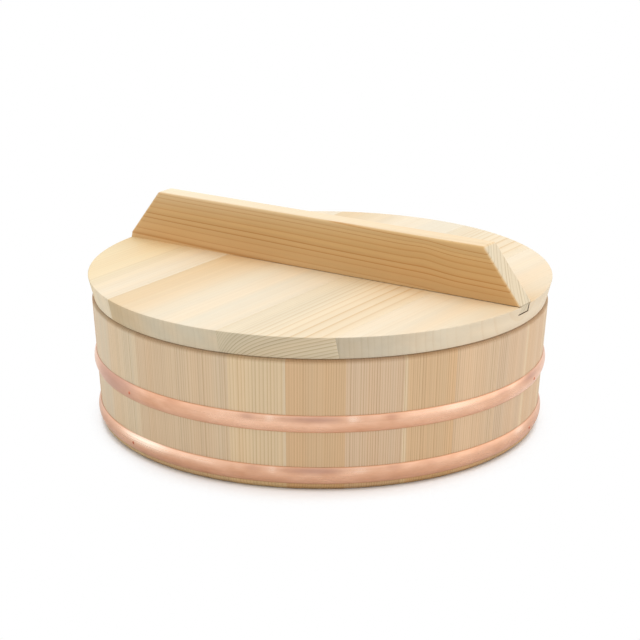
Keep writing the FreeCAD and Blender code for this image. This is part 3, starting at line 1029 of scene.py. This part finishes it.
GRIP_CORNER = 3.2        # rounding where the top meets the end slopes
GRIP_SLOPE = math.radians(52.9)
GRIP_TOE = 0.1           # how tall the foot of each end slope stands
GRIP_ARRIS = 2.0         # rounding along the sides of the top and the slopes
ARRIS_STEPS = 6
GRIP_LIFT = 0.45         # how far the underside stands off the lid at its right end
LIFT_START = -75.0       # where it starts to lift
LIFT_MIDDLE = (-50.0, 0.3)   # a place on the way, and how far it stands off there
GRIP_SCORES = 66
GRIP_SCORES_UP = 12
KNOT_X = 92.0            # the rings rise over an old knot here
KNOT_HEIGHT = 26.0
KNOT_REACH = (11.0, 9.0)     # how far it bends them, along the grip and upwards
KNOT_RISE = 1.1
DROP_X = KNOT_X + 14.0   # and drop behind it
DROP_REACH = 12.0
DROP = 0.9
RING_FALL = 0.02         # how steeply they run down towards the right end
RING_LEAN = 0.7          # how far they lean towards the front
RING_BEND = 0.0066       # and how much more higher up
PITH_BEHIND = 90.0
TOP_PALE = 0.80           # how pale the top is halfway along: partly sapwood, partly painted light from the lamp above
TOP_PALE_FALL = 0.22      # and how much less at the right end
FRONT_TOP_LIGHT = 0.24         # painted light: how much paler the front is just below its top edge, fading over the depth below
FRONT_LIGHT_DEPTH = 9.0
SIDE_DARK = 0.6            # painted shade: how dark the sides grow, in full at the depth below from the top
SIDE_DARK_DEPTH = 14.0
SIDE_DARK_RIGHT = 0.25     # and how much darker at the right end
TONGUE_SLACK = 0.35      # planed off the tongue's back and half as much off its foot, by hand
TONGUE_RECESS = 0.35     # how far the tongue's ends stand back from the lid's edge


def grip_outline():
    """The batten's long outline as (x, z), counter-clockwise seen from the front, read from the CAD."""
    co = vertices_mm("lid_handle")
    flat = co[co[:, 2] > GRIP_HIGH.z - 0.01][:, 0]
    tangent = GRIP_CORNER * math.tan(GRIP_SLOPE / 2)
    rim = co[np.hypot(co[:, 0], co[:, 1]) > LID_TOP_RADIUS - 0.05]
    left_rise = float(rim[rim[:, 0] < 0][:, 2].max())
    right_rise = float(rim[rim[:, 0] > 0][:, 2].max())
    return rounded([
        (LIFT_START, LID_TOP, 0.0),
        (LIFT_MIDDLE[0], LID_TOP + LIFT_MIDDLE[1], 0.0),
        (LID_TOP_RADIUS, LID_TOP + GRIP_LIFT, 0.0),
        (LID_TOP_RADIUS, max(right_rise, LID_TOP + GRIP_LIFT + 0.2), 0.0),
        (float(flat.max()) + tangent, GRIP_HIGH.z, GRIP_CORNER),
        (float(flat.min()) - tangent, GRIP_HIGH.z, GRIP_CORNER),
        (-LID_TOP_RADIUS, left_rise, 0.6),
        (-LID_TOP_RADIUS, LID_TOP, 0.0),
    ], steps=6)


def batten():
    """The grip above the lid, with its upper arrises rounded over and its ends flush with the lid."""
    line = grip_outline()
    count = len(line)
    half = GRIP_HIGH.y
    rows = []
    for i in range(ARRIS_STEPS + 1):
        turn = math.pi / 2 * i / ARRIS_STEPS
        rows.append((half - GRIP_ARRIS * (1 - math.sin(turn)), GRIP_ARRIS * (1 - math.cos(turn))))
    rows = [(-y, depth) for y, depth in reversed(rows)] + rows
    verts = []
    for y, depth in rows:
        limit = math.sqrt(LID_TOP_RADIUS ** 2 - y * y)
        for (x, z), (x_in, z_in) in zip(line, inset(line, depth)):
            if z > LID_TOP + GRIP_LIFT + 0.01:
                # The end slopes keep their line where the inset would push them under the lid's top.
                climb = max(0.0, LID_TOP + GRIP_LIFT + GRIP_TOE - z_in)
                x = math.copysign(abs(x_in) - climb / math.tan(GRIP_SLOPE), x_in)
                z = z_in + climb
            verts.append((math.copysign(min(abs(x), limit), x), y, z))
    faces = []
    for row in range(len(rows) - 1):
        for i in range(count):
            j = (i + 1) % count
            here = row * count
            faces.append((here + i, here + j, here + count + j, here + count + i))
    faces.append(tuple(range(count)))
    faces.append(tuple(range(count * (len(rows) - 1), count * len(rows))))
    return mesh_object("grip", verts, faces)


def grip():
    """The batten, joined to the dovetail tongue that holds it in the lid."""
    ob = batten()
    neck, foot, low = tongue_profile()
    back_neck = neck - TONGUE_SLACK
    back_foot = foot - TONGUE_SLACK
    low += TONGUE_SLACK / 2
    section = [
        (-neck, LID_TOP + 2), (-neck, LID_TOP), (-foot, low),
        (back_foot, low), (back_neck, LID_TOP), (back_neck, LID_TOP + 2),
    ]

    def half_length(y, z):
        if z > LID_TOP + 1:
            return LID_TOP_RADIUS - 6
        return math.sqrt(edge_radius(z) ** 2 - y * y) - TONGUE_RECESS

    reach = GRIP_HIGH.x
    scored(ob, 0, [reach * (2 * step / GRIP_SCORES - 1) for step in range(1, GRIP_SCORES)])
    rise = GRIP_HIGH.z - LID_TOP
    scored(ob, 2, [LID_TOP + rise * step / GRIP_SCORES_UP for step in range(1, GRIP_SCORES_UP)])
    tongue = bar_along_x(section, half_length)
    boolean(ob, tongue, "UNION")
    discard(tongue)

    def grain_at(points):
        x, y, z = points.T
        height = z - LID_TOP
        along = (x - KNOT_X) / KNOT_REACH[0]
        up = (height - KNOT_HEIGHT) / KNOT_REACH[1]
        run = height + RING_FALL * x + DROP * np.tanh((x - DROP_X) / DROP_REACH)
        run -= KNOT_RISE * np.exp(-along ** 2 - up ** 2)
        return np.stack([y - RING_LEAN * run - RING_BEND * run ** 2 + PITH_BEHIND, np.zeros_like(x), x], 1)

    def trunk_at(points):
        return np.tile((1.0, 0.0, 0.0), (len(points), 1))

    def pale_at(points, normals):
        """Pale wood on the ends, on top, mostly at the left, and down from the front's left top: partly
        sapwood, partly painted light, as tops and ends catch the lamp above and the front's top is less
        shaded than its foot.
        """
        along = points[:, 0] / GRIP_HIGH.x
        ends = np.clip(1.6 * np.abs(normals[:, 0]) - 0.3, 0, 1)
        top = np.clip(4 * normals[:, 2] - 3, 0, 1) * (TOP_PALE - TOP_PALE_FALL * along)
        depth = GRIP_HIGH.z - points[:, 2]
        front = FRONT_TOP_LIGHT * np.exp(-depth / FRONT_LIGHT_DEPTH) * np.clip(0.5 - along, 0, 1)
        return np.maximum(np.maximum(ends, top), front)

    def side_dark_at(points, normals):
        """How dark the sides are: more lower down, as painted shade towards the lid, and more at the
        right.
        """
        browned = SIDE_DARK * np.clip((GRIP_HIGH.z - points[:, 2]) / SIDE_DARK_DEPTH, 0, 1)
        browned += SIDE_DARK_RIGHT * np.clip(points[:, 0] / GRIP_HIGH.x, 0, 1)
        return browned * (np.abs(normals[:, 1]) > 0.5)

    def underside_shade_at(points, normals):
        """Painted shade: 1 on the underside and the tongue, where shade falls."""
        hidden = (normals[:, 2] < -0.5) | (np.abs(points[:, 1]) < GRIP_HIGH.y - 0.5)
        hidden &= (points[:, 2] < LID_TOP + GRIP_LIFT + 0.01) & (np.abs(normals[:, 0]) < 0.5)
        return hidden.astype(float)

    set_grain(ob, grain_at, trunk_at, pale=pale_at, grime=underside_shade_at, handled=side_dark_at)
    ob.color = rgba(207, 171, 118)
    dress(ob, "lid", ["lid_handle"], "handle_wood", GRIP_WOOD, seed=80, ring_mm=3.9, contrast=0.85,
          sap_mm=105, fade_mm=100, wander=0.7, ends=1.0)


# --- Pegs ---
def pegs():
    """The bamboo pegs stay as the CAD has them, hidden in the joints."""
    for node in ("stave_pegs", "bottom_pegs", "lid_pegs"):
        ob = nodes[node]
        ob.data.materials.clear()
        ob.data.materials.append(PEG_WOOD)
        ob.color = rgba(214, 190, 138)
        values = dict(seed=90.0, ring_mm=0.7, contrast=0.6, sap_mm=NO_SAP_RADIUS, fade_mm=1.0,
                      wander=0.3, ends=1.0)
        for key, value in values.items():
            ob[key] = value


# --- Stage, light and camera ---
CAMERA_AZIMUTH = math.radians(33.3)
CAMERA_ELEVATION = math.radians(19.81)
CAMERA_DISTANCE = 1475.4
CAMERA_PITCH = math.radians(17.24)
CAMERA_ROLL = math.radians(0.25)
FOCAL_LENGTH = 111.887
SENSOR_WIDTH = 36.0

FLOOR_RADIUS = 1.05
FLOOR_SIDES = 96
FLOOR_COLOUR = 0.93
FLOOR_MIRRORED = 0.87    # how pale the floor looks in the copper
FLOOR_SHADE = 50.0       # the floor is white farther than this from the tub
SHADE_LOW = 0.54         # plain where it sees less of the sky than this, and white
SHADE_HIGH = 0.80        # where it sees more than this
SHADE_BESIDE = 0.22      # how much lower both are beside the tub, where its shadow is fainter


def floor():
    """A pale floor, painted white to camera rays by a glow that lights nothing, apart from the tub's close
    shadow.
    """
    mesh = bpy.data.meshes.new("floor")
    turns = [math.tau * i / FLOOR_SIDES for i in range(FLOOR_SIDES)]
    corners = [(FLOOR_RADIUS * math.cos(t), FLOOR_RADIUS * math.sin(t), 0) for t in turns]
    mesh.from_pydata(corners, [], [tuple(range(FLOOR_SIDES))])
    ob = linked("floor", mesh)
    n = Nodes(bpy.data.materials.new("floor"))
    path = n.add("ShaderNodeLightPath").outputs
    shade = n.scaled(path["Is Glossy Ray"], FLOOR_MIRRORED - FLOOR_COLOUR, FLOOR_COLOUR)
    plain = n.add("ShaderNodeBsdfDiffuse", {"Color": n.grey(shade)})
    glow = n.add("ShaderNodeEmission", {"Color": (1, 1, 1, 1)})
    clear = n.add("ShaderNodeAmbientOcclusion", {"Distance": FLOOR_SHADE * MM}, samples=8).outputs["AO"]
    right = Vector((math.cos(CAMERA_AZIMUTH), math.sin(CAMERA_AZIMUTH), 0.0)) / (FOOT_OUT[0] * MM)
    beside = n.vector("DOT_PRODUCT", n.add("ShaderNodeTexCoord").outputs["Object"], tuple(right))
    beside = n.math("MINIMUM", n.times(beside, beside), 1.0)
    low = n.scaled(beside, -SHADE_BESIDE, SHADE_LOW)
    high = n.scaled(beside, -SHADE_BESIDE, SHADE_HIGH)
    # Painted light: camera rays see the floor glow white wherever it sees enough sky.
    white = n.times(n.ramp(clear, low, high), path["Is Camera Ray"])
    both = n.add("ShaderNodeMixShader", {0: white, 1: plain.outputs[0], 2: glow.outputs[0]})
    n.add("ShaderNodeOutputMaterial", {"Surface": both.outputs[0]})
    mesh.materials.append(n.owner)


LAMP_PLACE = (0.2, 0.0, 1.6)
LAMP_AIM = (0, 0, 0.05)
LAMP_SIZE = 1.5
LAMP_POWER = 12.0


def lamp():
    """One broad, soft lamp overhead."""
    data = bpy.data.lights.new("lamp", "AREA")
    data.size = LAMP_SIZE
    data.energy = LAMP_POWER
    ob = linked("lamp", data)
    ob.location = LAMP_PLACE
    ob.rotation_mode = "QUATERNION"
    ob.rotation_quaternion = (Vector(LAMP_AIM) - Vector(LAMP_PLACE)).to_track_quat("-Z", "Y")


SKY_HORIZON = 0.78
SKY_ZENITH = 0.85
SKY_RIGHT = 0.12         # how much brighter the camera's right is than its left
SKY_BACK = 0.06          # how much brighter the side behind the tub is
SKY_SIDES = 0.45         # how much brighter left and right are than front and back
MIRRORED_LOW = 1.28      # how bright the walls look in the copper,
MIRRORED_HIGH = 1.9      # and the lamps above them,
LAMPS_FROM = 0.5         # which start at this height of a sky of height 1
LAMPS_FULL = 0.66


def studio():
    """A white studio, brighter overhead than at the sides, and pure white to the camera."""
    n = Nodes(bpy.data.worlds.new("studio"))
    direction = n.add("ShaderNodeTexCoord").outputs["Generated"]
    up = n.ramp(n.parts(direction)[2], 0.0, 1.0, SKY_HORIZON, SKY_ZENITH)
    right = Vector((math.cos(CAMERA_AZIMUTH), math.sin(CAMERA_AZIMUTH), 0.0))
    away = Vector((-math.sin(CAMERA_AZIMUTH), math.cos(CAMERA_AZIMUTH), 0.0))
    lean = n.vector("DOT_PRODUCT", direction, tuple(right * SKY_RIGHT + away * SKY_BACK))
    across = n.vector("DOT_PRODUCT", direction, tuple(right))
    sides = n.times(n.times(across, across), SKY_SIDES)
    strength = n.times(up, n.plus(n.plus(lean, sides), 1.0))
    path = n.add("ShaderNodeLightPath").outputs
    lamps = n.ramp(n.parts(direction)[2], LAMPS_FROM, LAMPS_FULL, MIRRORED_LOW - 1, MIRRORED_HIGH - 1)
    mirrored = n.scaled(lamps, path["Is Glossy Ray"], 1.0)
    strength = n.times(strength, mirrored)
    seen = path["Is Camera Ray"]
    strength = n.plus(n.times(strength, n.math("SUBTRACT", 1.0, seen)), seen)
    background = n.add("ShaderNodeBackground", {"Color": (1, 1, 1, 1), "Strength": strength})
    n.add("ShaderNodeOutputWorld", {"Surface": background.outputs[0]})
    scene = bpy.context.scene
    scene.world = n.owner
    scene.view_settings.view_transform = "Standard"
    scene.view_settings.look = "None"


def camera():
    data = bpy.data.cameras.new("camera")
    data.sensor_width = SENSOR_WIDTH
    data.lens = FOCAL_LENGTH
    data.clip_end = 50.0
    ob = linked("camera", data)
    flat = CAMERA_DISTANCE * math.cos(CAMERA_ELEVATION) * MM
    ob.location = (flat * math.sin(CAMERA_AZIMUTH), -flat * math.cos(CAMERA_AZIMUTH),
                   CAMERA_DISTANCE * math.sin(CAMERA_ELEVATION) * MM)
    turn = Matrix.Rotation(CAMERA_AZIMUTH, 3, "Z") @ Matrix.Rotation(math.pi / 2 - CAMERA_PITCH, 3, "X")
    turn = turn @ Matrix.Rotation(CAMERA_ROLL, 3, "Z")
    ob.rotation_mode = "QUATERNION"
    ob.rotation_quaternion = turn.to_quaternion()
    bpy.context.scene.camera = ob


# --- Build ---
staves()
hoop("hoop_upper", "upper_hoop", 1, 0.2)
# The lower hoop's greater age is partly tarnishing and partly painted reflection of the shaded floor next
# to the tub.
hoop("hoop_lower", "lower_hoop", 2, 0.45)
nails("nails_upper", "upper_hoop_nails", 11)
nails("nails_lower", "lower_hoop_nails", 12)
bottom_boards()
lid_boards()
grip()
pegs()
floor()
studio()
lamp()
camera()
